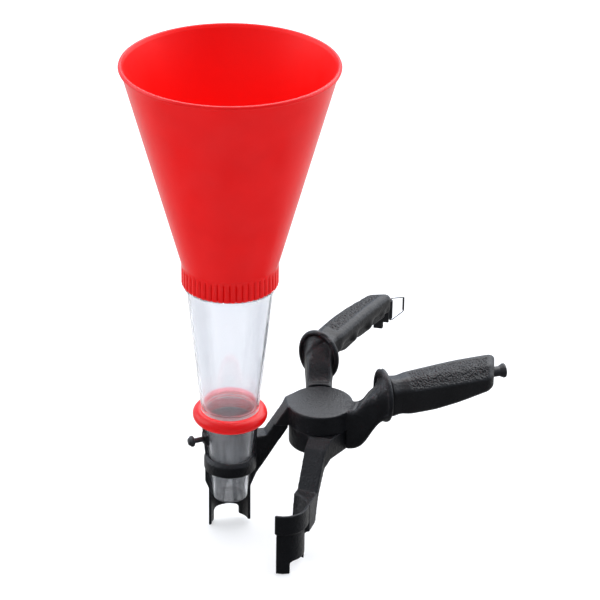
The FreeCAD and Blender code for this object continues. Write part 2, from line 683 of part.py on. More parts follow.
def make_bracket():
    """Hinge bracket on the end of the clamp grip, with a lug below."""
    slope = GRIP_END_SLOPE
    plate = plan_prism(
        [(-9.4 * slope, -9.4), (1.6 - 9.4 * slope, -9.8), (BRACKET_BACK, 1.2),
         (BRACKET_BACK, BAIL_INSET), (6.4 * slope, 6.4)], BRACKET_LOW, BRACKET_HIGH)
    lug = plan_prism([(-5 * slope, -5), (2.6, -5), (3.2, 1.5), (1.5 * slope, 1.5)],
                     BRACKET_LOW - 6.0, BRACKET_LOW + 1)
    block = joined(plate, lug)
    block.rotate(ORIGIN, UP, HANDLE_TURN)
    block.translate(V(GUARD_X, GUARD_Y, 0) + polar(GRIP_LENGTH, HANDLE_TURN))
    knuckle = Part.makeCylinder(KNUCKLE_R, 2 * KNUCKLE_HALF, hinge_point(0, HANDLE_Z - KNUCKLE_HALF))
    trim = Part.makeCylinder(KNUCKLE_R + 1.2, 10, hinge_point(0, HANDLE_Z + KNUCKLE_HALF))
    trim_low = Part.makeCylinder(KNUCKLE_R + 1.2, 10, hinge_point(0, HANDLE_Z - KNUCKLE_HALF - 10))
    bracket = joined(block, knuckle).cut([trim, trim_low])
    pin_hole = Part.makeCylinder(BAIL_WIRE_R + 0.05, 40, hinge_point(0, HANDLE_Z - 20))
    cuts = [pin_hole]
    for z in BRACKET_SCREW_HEIGHTS:
        start = handle_point(GRIP_LENGTH - 6, BRACKET_SCREW_INSET, z)
        seat = handle_point(GRIP_LENGTH + 1.6, BRACKET_SCREW_INSET, z)
        cuts.append(Part.makeCylinder(POST_SCREW_R, 20, start, polar(1.0, HANDLE_TURN)))
        cuts.append(Part.makeCylinder(BRACKET_SCREW_HEAD_R + 0.1, 20, seat, polar(1.0, HANDLE_TURN)))
    return bracket.cut(cuts)


def make_bracket_screws():
    """Two screws that hold the bracket on the end of the tang."""
    screws = []
    for z in BRACKET_SCREW_HEIGHTS:
        screw = handle_turned((0, -SCREW_REACH), (POST_SCREW_R, -SCREW_REACH), (POST_SCREW_R, 1.6),
                              (BRACKET_SCREW_HEAD_R, 1.6), (BRACKET_SCREW_HEAD_R - 0.2, 3.0), (0, 3.3))
        screw.translate(handle_point(GRIP_LENGTH, BRACKET_SCREW_INSET, z))
        screws.append(screw)
    return Part.makeCompound(screws)


def make_bail():
    """Spring wire loop hinged in the bracket."""
    foot_high = HANDLE_Z + BAIL_HALF_FOOT
    foot_low = HANDLE_Z - BAIL_HALF_FOOT
    swing = math.radians(HANDLE_TURN + BAIL_REST_TURN)
    out = V(math.cos(swing), math.sin(swing), 0) * BAIL_REACH
    bar_high = hinge_point(0, HANDLE_Z + BAIL_HALF_BAR) + out
    bar_low = hinge_point(0, HANDLE_Z - BAIL_HALF_BAR) + out
    return wire_path([hinge_point(0, HANDLE_Z + 3), hinge_point(0, foot_high), bar_high, bar_low,
                      hinge_point(0, foot_low), hinge_point(0, HANDLE_Z - 3)], BAIL_WIRE_R)


# ------------------------------------------------------------------ thumb screw
def along_thumb_axis(solid):
    """Lay a solid of revolution along the thumb screw's axis, which points away from the spout."""
    solid.rotate(ORIGIN, V(0, 1, 0), -90)
    solid.rotate(ORIGIN, UP, THUMB_TURN)
    solid.translate(V(0, 0, THUMB_Z))
    return solid


def make_thumb_screw():
    """Stem and mushroom head of the retaining screw."""
    return along_thumb_axis(turned(
        (0, -THUMB_TIP_X), (THUMB_STEM_R, -THUMB_TIP_X), (THUMB_STEM_R, -THUMB_HEAD_X),
        (THUMB_HEAD_R - 0.4, -THUMB_HEAD_X + 0.4),
        (THUMB_HEAD_R, -THUMB_HEAD_X + 1.8, THUMB_HEAD_R - 0.9, -THUMB_HEAD_X + 3.2),
        (2.6, -THUMB_END_X - 0.4), (1.4, -THUMB_END_X), (0, -THUMB_END_X)))


def make_thumb_insert():
    """Threaded brass insert in the cradle wall."""
    wall_x = spout_radius(THUMB_Z) + SPOUT_FIT + 0.25
    return along_thumb_axis(turned(
        (THUMB_STEM_R + 0.03, wall_x), (THUMB_INSERT_R, wall_x), (THUMB_INSERT_R, -THUMB_SEAT_X),
        (THUMB_STEM_R + 0.03, -THUMB_SEAT_X)))


# ------------------------------------------------------------------ assembly
def build():
    """Every sub-part in the part's frame, by node name."""
    return {
        "hopper": make_hopper(),
        "hopper_seal": make_seal(),
        "sight_cup": make_cup(),
        "cup_seat_ring": make_ring(),
        "funnel_lever": place_upper(make_funnel_lever()),
        "funnel_lever_grip": place_upper(make_grip(post_screw_hole())),
        "clamp_lever": place_lower(make_clamp_lever()),
        "clamp_lever_grip": place_lower(make_grip(bracket_screw_holes())),
        "pivot_bolt": make_pivot_bolt(),
        "pivot_bush": pivot_ring(BUSH_R, SHANK_R + 0.05, BUSH_LOW, BUSH_HIGH),
        "pivot_head_washer": pivot_ring(BOLT_HEAD_R, SHANK_R + 0.05, BOLT_HEAD_HIGH, BUSH_LOW),
        "pivot_insert": pivot_ring(INSERT_R, SHANK_R, BUSH_HIGH, BOLT_TIP),
        "pivot_thrust_washer": pivot_ring(WASHER_OUTER_R, WASHER_INNER_R, LOWER_HUB_TOP, UPPER_HUB_BOTTOM),
        "lever_spring": make_spring(),
        "latch_post": place_upper(make_post()),
        "latch_post_screw": place_upper(make_post_screw()),
        "latch_bracket": place_lower(make_bracket()),
        "latch_bracket_screws": place_lower(make_bracket_screws()),
        "latch_bail": place_lower(make_bail()),
        "thumb_screw": make_thumb_screw(),
        "thumb_screw_insert": make_thumb_insert(),
    }


os.makedirs("parts", exist_ok=True)
for name, shape in build().items():
    shape.exportStep("parts/%s.step" % name)
    print(name, "solids", len(shape.Solids), "valid", shape.isValid(), "cm3", round(shape.Volume / 1000, 2))
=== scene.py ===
import math

import bmesh
import bpy
import numpy as np
from mathutils import Matrix, Vector, noise


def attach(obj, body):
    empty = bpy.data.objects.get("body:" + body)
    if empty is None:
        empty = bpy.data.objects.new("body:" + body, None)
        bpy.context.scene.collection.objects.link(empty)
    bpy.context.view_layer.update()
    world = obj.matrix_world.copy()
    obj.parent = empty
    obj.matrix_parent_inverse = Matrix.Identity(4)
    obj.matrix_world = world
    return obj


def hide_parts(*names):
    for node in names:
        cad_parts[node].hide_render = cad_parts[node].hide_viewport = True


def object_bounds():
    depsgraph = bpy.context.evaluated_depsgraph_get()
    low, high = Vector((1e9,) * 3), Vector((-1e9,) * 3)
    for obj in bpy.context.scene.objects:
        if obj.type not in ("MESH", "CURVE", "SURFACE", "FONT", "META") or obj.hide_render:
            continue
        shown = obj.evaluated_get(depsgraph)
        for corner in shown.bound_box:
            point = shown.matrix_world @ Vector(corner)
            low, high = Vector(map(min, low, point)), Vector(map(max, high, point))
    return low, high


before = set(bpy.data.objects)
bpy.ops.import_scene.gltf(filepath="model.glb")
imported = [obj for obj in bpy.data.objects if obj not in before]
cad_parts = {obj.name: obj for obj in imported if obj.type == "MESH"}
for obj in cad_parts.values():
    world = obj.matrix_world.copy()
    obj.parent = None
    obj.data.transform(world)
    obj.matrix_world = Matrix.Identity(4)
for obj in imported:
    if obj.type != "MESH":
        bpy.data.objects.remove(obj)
size_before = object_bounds()

MM = 0.001

# ---- driving dimensions, millimetres ----
PIVOT_X = 69.3
OPEN_ANGLE = math.radians(57.9)
GUARD_X = 44.6
GUARD_Y = -20.6
HANDLE_Z = 90.0
HANDLE_TURN = math.radians(10.05)
NECK_TURN = math.radians(-24.8)
NECK_PANEL_HALF = 7.2
NECK_PANEL_DEPTH = 1.1
GUARD_WIDTH = 36.0
GUARD_HEIGHT = 41.5
GUARD_HALF = 2.2
GUARD_HOLLOW = 1.8
GRIP_LENGTH = 89.7
GRIP_END_SLOPE = 0.41
GRIP_STATIONS = (1.2, 20, 40, 60, 80, 100)
GRIP_HEIGHTS = ((105.8, 105.6, 105.4, 105.0, 104.6, 104.2),
                (102.4, 103.2, 104.6, 106.2, 107.0, 107.4),
                (88.0, 89.5, 90.5, 91.0, 91.5, 92.0),
                (75.0, 75.9, 77.0, 79.8, 83.6, 87.0))
GRIP_FINGER = 9.6           # finger side, from the grip's middle plane
GRIP_PALM = -13.0
GRIP_RIDGE = -6.0           # upper edge of the bevel above the palm
GRIP_BEVEL = 7.5
GRIP_KEEL = -0.5            # lowest line of the section
GRIP_CORNER_RADII = (5.0, 5.5, 6.0, 5.0, 6.5, 6.5)
GRIP_EDGE_STEPS = (22, 30, 20, 44, 18, 44)
GRIP_SPACING = 0.38         # between sections along the grip
GRIP_END_ROUND = 6.5
GRIP_END_INSET = 4.4
GRIP_GROOVES = ((3.2, 0.6, 1.0), (11.0, 5.5, 1.2))         # distance from the guard, width, depth
FINGER_DEPTH = 2.4
FINGER_RISE = 2.9           # of the ridges between the finger hollows, from their bottom
FINGER_RIDGES = ((37, 1.0), (58, 1.0), (78, 0.6))          # distance from the guard, share of the rise
PEBBLE_CELL = 1.4
PEBBLE_TOP = 0.34
PEBBLE_SLOPE = 0.95
RIB_COUNT = 48
RIB_DEPTH = 1.25
COLLAR_R = 36.1
HOPPER_SEGMENTS = 576       # twelve to a rib
CUP_SEGMENTS = 256
THREAD_BOTTOM = 184.0
THREAD_TOP = 196.4
THREAD_PITCH = 4.0
THREAD_DEPTH = 0.75
RING_SEGMENTS = 220
RING_R = 23.1
RING_SECTION_R = 5.3
RING_Z = 71.6
BRACKET_BACK = 7.6
BAIL_INSET = 4.6
BAIL_REST_TURN = math.radians(14.0)
BAIL_REACH = 14.9
BAIL_HALF_FOOT = 10.2
BAIL_HALF_BAR = 6.2
BAIL_WIRE_R = 0.9


# ------------------------------------------------------------------ mesh helpers
def make_object(name, verts, faces, mat, body, nodes, sharp):
    """Mesh object in metres from millimetre vertices, riding on a body in place of CAD nodes."""
    mesh = bpy.data.meshes.new(name)
    mesh.from_pydata((np.asarray(verts, float) * MM).tolist(), [], faces)
    mesh.validate()
    bm = bmesh.new()
    bm.from_mesh(mesh)
    bmesh.ops.recalc_face_normals(bm, faces=bm.faces)
    bm.to_mesh(mesh)
    bm.free()
    obj = bpy.data.objects.new(name, mesh)
    bpy.context.scene.collection.objects.link(obj)
    return dress(obj, mat, body, nodes, sharp)


def dress(obj, mat, body, nodes, sharp):
    """Smooth shading up to a sharp angle, one material slot, the body, and the CAD nodes it stands for hidden."""
    mesh = obj.data
    mesh.materials.clear()
    mesh.materials.append(mat)
    mesh.polygons.foreach_set("use_smooth", [True] * len(mesh.polygons))
    mesh.polygons.foreach_set("material_index", [0] * len(mesh.polygons))
    if sharp:
        mesh.set_sharp_from_angle(angle=math.radians(sharp))
    mesh.update()
    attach(obj, body)
    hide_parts(*nodes)
    return obj


def grid_faces(rows, cols, close_rows):
    """Quads over rows x cols vertices; columns always close, rows close if asked."""
    faces = []
    last = rows if close_rows else rows - 1
    for i in range(last):
        a = i * cols
        b = ((i + 1) % rows) * cols
        for j in range(cols):
            k = (j + 1) % cols
            faces.append((a + j, a + k, b + k, b + j))
    return faces


def rounded(points, steps):
    """Closed profile from (r, z, corner radius) points, each corner rounded, long runs kept as they are."""
    out = []
    count = len(points)
    for i in range(count):
        p = np.array(points[i][:2], float)
        radius = points[i][2]
        if radius <= 0:
            out.append(p)
            continue
        a = np.array(points[i - 1][:2], float) - p
        b = np.array(points[(i + 1) % count][:2], float) - p
        la = np.linalg.norm(a)
        lb = np.linalg.norm(b)
        a /= la
        b /= lb
        half = math.acos(max(-1.0, min(1.0, float(a @ b)))) / 2
        if half > math.radians(88):
            out.append(p)
            continue
        reach = min(radius / math.tan(half), 0.48 * la, 0.48 * lb)
        radius = reach * math.tan(half)
        bisector = (a + b) / np.linalg.norm(a + b)
        centre = p + bisector * radius / math.sin(half)
        start = p + a * reach - centre
        end = p + b * reach - centre
        turn = math.atan2(start[0] * end[1] - start[1] * end[0], start @ end)
        for s in range(steps + 1):
            t = turn * s / steps
            out.append(centre + np.array([start[0] * math.cos(t) - start[1] * math.sin(t),
                                          start[0] * math.sin(t) + start[1] * math.cos(t)]))
    return out


def dense(profile, span, low, high):
    """Adds points so that no run between two heights is much longer than span."""
    out = []
    count = len(profile)
    for i in range(count):
        p = profile[i]
        q = profile[(i + 1) % count]
        out.append(p)
        middle = (p[1] + q[1]) / 2
        parts = int(np.linalg.norm(q - p) / span) if low < middle < high else 0
        for k in range(1, parts):
            out.append(p + (q - p) * k / parts)
    return out


def lathe(name, profile, segments, mat, body, nodes, change, sharp):
    """Closed solid of revolution; change(r, z, angle) returns new radii."""
    angles = 2 * np.pi * np.arange(segments) / segments
    verts = []
    for r, z in profile:
        radii = np.full(segments, r)
        if change is not None:
            radii = change(radii, z, angles)
        verts.append(np.stack([radii * np.cos(angles), radii * np.sin(angles), np.full(segments, z)], 1))
    return make_object(name, np.concatenate(verts), grid_faces(len(profile), segments, True),
                       mat, body, nodes, sharp)


def moulded(node, name, voxel, passes, mat, body, change=None):
    """Dense copy of a CAD node with softened edges. change(points, normals) may move its points."""
    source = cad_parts[node]
    mesh = source.data.copy()
    obj = bpy.data.objects.new(name, mesh)
    bpy.context.scene.collection.objects.link(obj)
    obj.matrix_world = source.matrix_world.copy()
    remesh = obj.modifiers.new("remesh", "REMESH")
    remesh.mode = "VOXEL"
    remesh.voxel_size = voxel * MM
    soften = obj.modifiers.new("soften", "SMOOTH")
    soften.factor = 0.5
    soften.iterations = passes
    graph = bpy.context.evaluated_depsgraph_get()
    baked = bpy.data.meshes.new_from_object(obj.evaluated_get(graph))
    obj.modifiers.clear()
    obj.data = baked
    bpy.data.meshes.remove(mesh)
    baked.name = name
    if change is not None:
        count = len(baked.vertices)
        co = np.empty(count * 3)
        no = np.empty(count * 3)
        baked.vertices.foreach_get("co", co)
        baked.vertex_normals.foreach_get("vector", no)
        moved = change(co.reshape(-1, 3) / MM, no.reshape(-1, 3))
        baked.vertices.foreach_set("co", (moved * MM).ravel())
        baked.update()
    return dress(obj, mat, body, [node], 0)


def step(x, low, high):
    """0 below low, 1 above high, smooth between."""
    t = np.clip((np.asarray(x, float) - low) / (high - low), 0, 1)
    return t * t * (3 - 2 * t)


# ------------------------------------------------------------------ lever frames
def upper(points):
    """Lever frame to the row frame, funnel lever."""
    return np.asarray(points, float) + np.array([PIVOT_X, 0, 0])


def lower(points):
    """Lever frame to the row frame, clamp lever: mirrored and swung open."""
    p = np.asarray(points, float)
    c, s = math.cos(OPEN_ANGLE), math.sin(OPEN_ANGLE)
    x = p[..., 0]
    y = -p[..., 1]
    return np.stack([PIVOT_X + x * c - y * s, x * s + y * c, p[..., 2]], -1)


def from_upper(points, vectors):
    """Row frame to the funnel lever's frame."""
    return points - np.array([PIVOT_X, 0, 0]), vectors


def from_lower(points, vectors):
    """Row frame to the clamp lever's frame."""
    c, s = math.cos(OPEN_ANGLE), math.sin(OPEN_ANGLE)

    def back(p):
        return np.stack([p[:, 0] * c + p[:, 1] * s, p[:, 0] * s - p[:, 1] * c, p[:, 2]], 1)
    return back(points - np.array([PIVOT_X, 0, 0])), back(vectors)


def handle_point(along, inward, z):
    """Lever-frame point measured along the grip from the guard."""
    c, s = math.cos(HANDLE_TURN), math.sin(HANDLE_TURN)
    along = np.asarray(along, float)
    return np.stack([GUARD_X + along * c - inward * s, GUARD_Y + along * s + inward * c,
                     np.asarray(z, float) + 0 * along], -1)


# ------------------------------------------------------------------ materials
class Finish:
    """Node material on one Principled shader, with small helpers."""

    def __init__(self, name, **values):
        self.mat = bpy.data.materials.new(name)
        self.mat.use_nodes = True
        self.tree = self.mat.node_tree
        self.shader = self.tree.nodes["Principled BSDF"]
        for key, value in values.items():
            self.shader.inputs[key.replace("_", " ")].default_value = value
        self.coords = self.tree.nodes.new("ShaderNodeTexCoord").outputs["Object"]
        self.height = None

    def noise(self, scale, detail, stretch=None):
        node = self.tree.nodes.new("ShaderNodeTexNoise")
        node.inputs["Scale"].default_value = scale
        node.inputs["Detail"].default_value = detail
        node.inputs["Roughness"].default_value = 0.55
        source = self.coords
        if stretch:
            mapping = self.tree.nodes.new("ShaderNodeMapping")
            mapping.inputs["Scale"].default_value = stretch
            self.tree.links.new(source, mapping.inputs["Vector"])
            source = mapping.outputs["Vector"]
        self.tree.links.new(source, node.inputs["Vector"])
        return node.outputs["Fac"]

    def cells(self, scale):
        node = self.tree.nodes.new("ShaderNodeTexVoronoi")
        node.inputs["Scale"].default_value = scale
        self.tree.links.new(self.coords, node.inputs["Vector"])
        return node.outputs["Distance"]

    def attribute(self, name):
        node = self.tree.nodes.new("ShaderNodeAttribute")
        node.attribute_name = name
        return node.outputs["Fac"]

    def calc(self, operation, *values):
        """Math node over sockets and plain numbers."""
        node = self.tree.nodes.new("ShaderNodeMath")
        node.operation = operation
        for socket, value in zip(node.inputs, values):
            if isinstance(value, float):
                socket.default_value = value
            else:
                self.tree.links.new(value, socket)
        return node.outputs["Value"]

    def bands(self, source, stops):
        """Amounts at positions from 0 to 1 along the source, running down to 0 at both ends."""
        node = self.tree.nodes.new("ShaderNodeValToRGB")
        self.tree.links.new(source, node.inputs["Fac"])
        for end in node.color_ramp.elements:
            end.color = (0, 0, 0, 1)
        for position, amount in stops:
            node.color_ramp.elements.new(position).color = (amount, amount, amount, 1)
        return node.outputs["Color"]

    def ramp(self, source, low, high, a, b):
        node = self.tree.nodes.new("ShaderNodeValToRGB")
        node.color_ramp.elements[0].position = low
        node.color_ramp.elements[1].position = high
        node.color_ramp.elements[0].color = (*a, 1)
        node.color_ramp.elements[1].color = (*b, 1)
        self.tree.links.new(source, node.inputs["Fac"])
        return node.outputs["Color"]

    def span(self, source, low, high, a, b):
        node = self.tree.nodes.new("ShaderNodeMapRange")
        for key, value in (("From Min", low), ("From Max", high), ("To Min", a), ("To Max", b)):
            node.inputs[key].default_value = value
        self.tree.links.new(source, node.inputs["Value"])
        return node.outputs["Result"]

    def mix(self, factor, a, b):
        node = self.tree.nodes.new("ShaderNodeMix")
        node.data_type = "RGBA"
        self.tree.links.new(factor, node.inputs["Factor"])
        for socket, value in ((node.inputs["A"], a), (node.inputs["B"], b)):
            if isinstance(value, tuple):
                socket.default_value = (*value, 1)
            else:
                self.tree.links.new(value, socket)
        return node.outputs["Result"]

    def edges(self):
        return self.tree.nodes.new("ShaderNodeNewGeometry").outputs["Pointiness"]

    def put(self, key, source):
        self.tree.links.new(source, self.shader.inputs[key])
        return self

    def bump(self, source, strength, distance):
        node = self.tree.nodes.new("ShaderNodeBump")
        node.inputs["Strength"].default_value = strength
        node.inputs["Distance"].default_value = distance
        self.tree.links.new(source, node.inputs["Height"])
        if self.height is not None:
            self.tree.links.new(self.height, node.inputs["Normal"])
        self.height = node.outputs["Normal"]
        self.tree.links.new(self.height, self.shader.inputs["Normal"])
        return self


def red_plastic(name, deep, light, painted_inner_glow, sheen):
    """Glossy moulded red plastic. Where the "inside" attribute is 1 it is duller, painted lighter and given a
    weak painted glow, which stand in for light shining through the thin wall.
    """
    f = Finish(name, IOR=1.49, Specular_IOR_Level=0.34, Sheen_Weight=sheen, Sheen_Roughness=0.4,
               Sheen_Tint=(1.0, 0.22, 0.22, 1), Emission_Strength=painted_inner_glow)
    inside = f.attribute("inside")
    outer = f.ramp(f.noise(34, 3), 0.35, 0.7, deep, light)
    # Inside the cone the base colour is painted lighter, standing in for light shining through the wall.
    f.put("Base Color", f.mix(inside, outer, (0.86, 0.0040, 0.0032)))
    # Painted glow on the inner wall; it is no lamp.
    if painted_inner_glow:
        f.put("Emission Color", f.mix(inside, (0.0, 0.0, 0.0), (1.0, 0.004, 0.002)))
    f.put("Roughness", f.calc("MULTIPLY_ADD", inside, 0.16, f.span(f.noise(45, 1), 0.3, 0.7, 0.22, 0.27)))
    f.bump(f.noise(95, 3), 0.06, 0.0005)
    f.bump(f.noise(700, 2), 0.03, 0.0001)
    return f.mat


def black_plastic(name, dark, edge_colour, rough, grain, strength, pebble=0.0):
    """Satin black plastic with a fine mould grain, slightly lighter convex edges and, on grips, pebbles."""
    f = Finish(name, Specular_IOR_Level=0.5)
    colour = f.ramp(f.noise(60, 5), 0.3, 0.75, dark, tuple(c * 1.35 for c in dark))
    # Convex edges, found by pointiness, are made lighter in colour.
    f.put("Base Color", f.mix(f.span(f.edges(), 0.515, 0.60, 0.0, 0.55), colour, edge_colour))
    f.put("Roughness", f.span(f.noise(220, 5), 0.25, 0.8, rough - 0.06, rough + 0.10))
    f.bump(f.noise(520, 3), strength * 1.8, 0.0009)
    if pebble:
        f.bump(f.calc("MULTIPLY", f.cells(620), f.attribute("pebble")), pebble, -0.0011)
    f.bump(f.cells(grain), strength, 0.00025)
    return f.mat


def metal(name, a, b, rough, stretch=(1, 1, 1)):
    """Turned or drawn metal with fine lines and a little tarnish."""
    f = Finish(name, Metallic=1.0)
    f.put("Base Color", f.ramp(f.noise(120, 5), 0.3, 0.75, a, b))
    f.put("Roughness", f.span(f.noise(400, 4, stretch=stretch), 0.25, 0.8, rough - 0.07, rough + 0.12))
    f.bump(f.noise(1500, 3, stretch=stretch), 0.12, 0.0001)
    return f.mat


def clear_plastic():
    """Slightly hazy clear plastic, with two pale painted highlight bands at the cup's base and a painted red
    reflection of the seat ring on the far wall above.
    """
    f = Finish("clear_plastic", IOR=1.45)
    rim = f.tree.nodes.new("ShaderNodeLayerWeight")
    rim.inputs["Blend"].default_value = 0.5
    f.put("Alpha", f.span(rim.outputs["Facing"], 0.45, 0.85, 0.88, 1.0))
    place = f.tree.nodes.new("ShaderNodeSeparateXYZ")
    f.tree.links.new(f.coords, place.inputs["Vector"])
    # Two pale bands at the cup's base are painted highlights: whiter colour and less transmission.
    painted_highlight_bands = f.bands(f.span(place.outputs["Z"], 0.0745, 0.0805, 0.0, 1.0),
                    ((0.08, 0.0), (0.10, 1.0), (0.19, 1.0), (0.22, 0.0),
                     (0.42, 0.0), (0.45, 1.0), (0.60, 1.0), (0.63, 0.0)))
    # A pink tint on the far wall just above the seat ring is a painted reflection of the ring's red.
    height = f.bands(f.span(place.outputs["Z"], 0.078, 0.084, 0.0, 1.0),
                     ((0.06, 0.0), (0.14, 1.0), (0.62, 1.0), (0.80, 0.0)))
    painted_ring_reflection = f.calc("MULTIPLY", height, f.span(place.outputs["Y"], 0.001, 0.009, 0.0, 1.0))
    haze = f.ramp(f.noise(30, 3), 0.3, 0.75, (0.80, 0.815, 0.84), (0.84, 0.85, 0.87))
    f.put("Base Color", f.mix(painted_highlight_bands, f.mix(painted_ring_reflection, haze, (0.96, 0.26, 0.31)), (0.97, 0.97, 0.98)))
    f.put("Transmission Weight", f.span(painted_highlight_bands, 0.0, 1.0, 0.93, 0.45))
    f.put("Roughness", f.span(f.noise(120, 4), 0.3, 0.8, 0.015, 0.07))
    f.bump(f.noise(70, 2), 0.06, 0.0006)
    return f.mat


def matt(name, a, b, rough, grain):
    """Rubber or natural nylon."""
    f = Finish(name, Specular_IOR_Level=0.3)
    f.put("Base Color", f.ramp(f.noise(150, 5), 0.3, 0.75, a, b))
    f.put("Roughness", f.span(f.noise(300, 4), 0.3, 0.8, rough - 0.08, rough + 0.08))
    f.bump(f.noise(grain, 4), 0.2, 0.0002)
    return f.mat


# The hopper's first 0.05 is the strength of its painted inner glow; the seat ring has none.
RED = red_plastic("hopper_red", (0.72, 0.0026, 0.0030), (0.77, 0.0036, 0.0040), 0.05, 0.05)
RING_RED = red_plastic("ring_red", (0.66, 0.0030, 0.0035), (0.72, 0.0050, 0.0055), 0.0, 0.0)
CLEAR = clear_plastic()
BLACK = black_plastic("lever_black", (0.0040, 0.0043, 0.0056), (0.026, 0.028, 0.034), 0.40, 1500, 0.36)
GRIP = black_plastic("grip_black", (0.0065, 0.0065, 0.0072), (0.024, 0.025, 0.028), 0.40, 1900, 0.25, 0.9)
POST = black_plastic("post_black", (0.0130, 0.0130, 0.0150), (0.050, 0.050, 0.055), 0.34, 2200, 0.12)
SEAL = matt("seal_black", (0.020, 0.020, 0.020), (0.034, 0.034, 0.034), 0.75, 1800)
NYLON = matt("nylon_white", (0.72, 0.70, 0.65), (0.80, 0.79, 0.75), 0.5, 1200)
STEEL = metal("steel", (0.42, 0.42, 0.43), (0.60, 0.60, 0.61), 0.34)
SPRING = metal("spring_steel", (0.58, 0.58, 0.60), (0.74, 0.74, 0.76), 0.22, (1, 1, 0.2))
BRONZE = metal("bronze", (0.42, 0.26, 0.12), (0.56, 0.38, 0.18), 0.42)
BRASS = metal("brass", (0.60, 0.42, 0.16), (0.76, 0.56, 0.26), 0.28)
DARK_BRASS = metal("blackened_brass", (0.030, 0.028, 0.026), (0.050, 0.046, 0.042), 0.5)

# ------------------------------------------------------------------ hopper
hopper_profile = dense(rounded([
    (33.5, 182.7, 0.2), (35.4, 182.7, 0.5), (COLLAR_R, 183.6, 0.5), (COLLAR_R, 199.6, 2.5),
    (77.9, 352.6, 0.5), (79.3, 353.0, 0.7), (79.95, 354.6, 1.2),
    (79.2, 356.35, 1.0), (77.4, 356.38, 1.0), (76.1, 354.0, 1.6), (33.9, 203.0, 1.0),
    (30.6, 201.2, 0.6), (30.6, 199.0, 0.2), (33.5, 199.0, 0.1)], 6), 1.0, 183.0, 202.0)
hopper_profile = dense(hopper_profile, 9.0, 201.0, 353.0)


def ribs(radii, z, angles):
    """Rounded ribs round the collar: the grooves between them run out at the bottom and fade at the top."""
    if radii[0] < 35.0 or z > 199:
        return radii
    phase = (angles * RIB_COUNT / (2 * np.pi)) % 1.0 - 0.5
    groove = np.abs(phase / 0.5) ** 3.2
    fade = 1 - float(step(z, 196.2, 198.6))
    return radii - RIB_DEPTH * groove * fade


hopper = lathe("funnel_hopper", hopper_profile, HOPPER_SEGMENTS, RED, "hopper_body", ["hopper"],
               ribs, 60)
# The cone's inner wall: the profile points well inside the straight line up the outer wall.
inner = np.repeat([1.0 if z > 203 and r < 36.9 + (z - 202.6) * 0.2733 - 0.9 else 0.0
                   for r, z in hopper_profile], HOPPER_SEGMENTS)
# The "inside" attribute marks where the painted lighter colour and the painted glow go.
hopper.data.attributes.new("inside", "FLOAT", "POINT").data.foreach_set("value", inner)


# ------------------------------------------------------------------ sight cup and its ring
def screw_thread(radii, z, angles):
    """Rounded screw thread on the neck of the cup."""
    if radii[0] < 32.6 or z < THREAD_BOTTOM or z > THREAD_TOP:
        return radii
    turn = ((z - THREAD_BOTTOM) / THREAD_PITCH - angles / (2 * np.pi)) % 1.0
    ends = float(step(z, THREAD_BOTTOM, 185.4) * (1 - step(z, 195.0, THREAD_TOP)))
    crest = np.clip(np.cos((turn - 0.5) * 2 * np.pi), 0, 1) ** 0.6
    return radii - THREAD_DEPTH + THREAD_DEPTH * ends * crest


cup_profile = dense(rounded([
    (11.7, 0.0, 0.3), (13.15, 0.0, 0.5), (20.3, 75.2, 0.3),
    (22.0, 75.4, 0.5), (22.3, 77.0, 0.7), (22.1, 78.2, 0.6),
    (32.4, 179.6, 0.9), (34.4, 179.8, 0.7), (34.4, 182.4, 0.7), (33.3, 182.4, 0.3), (33.3, 197.0, 0.5),
    (31.5, 197.0, 0.5), (31.5, 182.4, 0.8), (30.6, 179.8, 0.8),
    (20.1, 79.4, 0.6), (19.5, 79.9, 0.4), (18.9, 79.5, 0.4), (18.8, 78.5, 0.5),
    (11.7, 8.0, 0.8)], 6), 0.5, 183.0, 197.0)
cup_profile = dense(cup_profile, 5.0, 0.0, 183.0)
cup = lathe("sight_cup_clear", cup_profile, CUP_SEGMENTS, CLEAR, "cup_body", ["sight_cup"],
            screw_thread, 50)
# Clear plastic would otherwise darken all that is inside and behind it.
cup.visible_shadow = False

ring_profile = [np.array([RING_R + RING_SECTION_R * math.cos(a), RING_Z + RING_SECTION_R * math.sin(a)])
                for a in np.linspace(math.radians(-76), math.radians(94), 40)]
ring_profile += [np.array(p) for p in ((21.95, 76.7), (21.95, 75.4), (20.45, 75.3), (19.7, 66.5))]
lathe("cup_seat", ring_profile, RING_SEGMENTS, RING_RED, "cup_body", ["cup_seat_ring"], None, 35)


# ------------------------------------------------------------------ levers
def neck_detail(points, normals):
    """Recessed panel along the top of the neck, and a hollow under the rim of the guard."""
    x, y, z = points.T
    out = x * math.cos(NECK_TURN) + y * math.sin(NECK_TURN)
    across = y * math.cos(NECK_TURN) - x * math.sin(NECK_TURN)
    width = NECK_PANEL_HALF + 3.0 * step(out, 39, 47)
    panel = (1 - step(np.abs(across), width - 0.6, width + 0.5)) * step(out, 27.0, 28.6) * (1 - step(out, 44, 47))
    panel *= step(normals[:, 2], 0.05, 0.3) * step(z, 68, 72)
    points = points - normals * (NECK_PANEL_DEPTH * panel)[:, None]
    c, s = math.cos(HANDLE_TURN), math.sin(HANDLE_TURN)
    along = (x - GUARD_X) * c + (y - GUARD_Y) * s
    side = -(x - GUARD_X) * s + (y - GUARD_Y) * c
    oval = np.sqrt((side / (GUARD_WIDTH / 2)) ** 2 + ((z - HANDLE_Z) / (GUARD_HEIGHT / 2)) ** 2)
    facing = -(normals[:, 0] * c + normals[:, 1] * s)
    hollow = (1 - step(oval, 0.80, 0.90)) * step(along, -8, -3.5) * (1 - step(along, -1.2, 0.2))
    hollow *= step(facing, 0.1, 0.5)
    return points + np.array([c, s, 0]) * (GUARD_HOLLOW * hollow)[:, None]


def upper_detail(points, normals):
    p, n = from_upper(points, normals)
    return upper(neck_detail(p, n))


def lower_detail(points, normals):
    p, n = from_lower(points, normals)
    return lower(neck_detail(p, n))


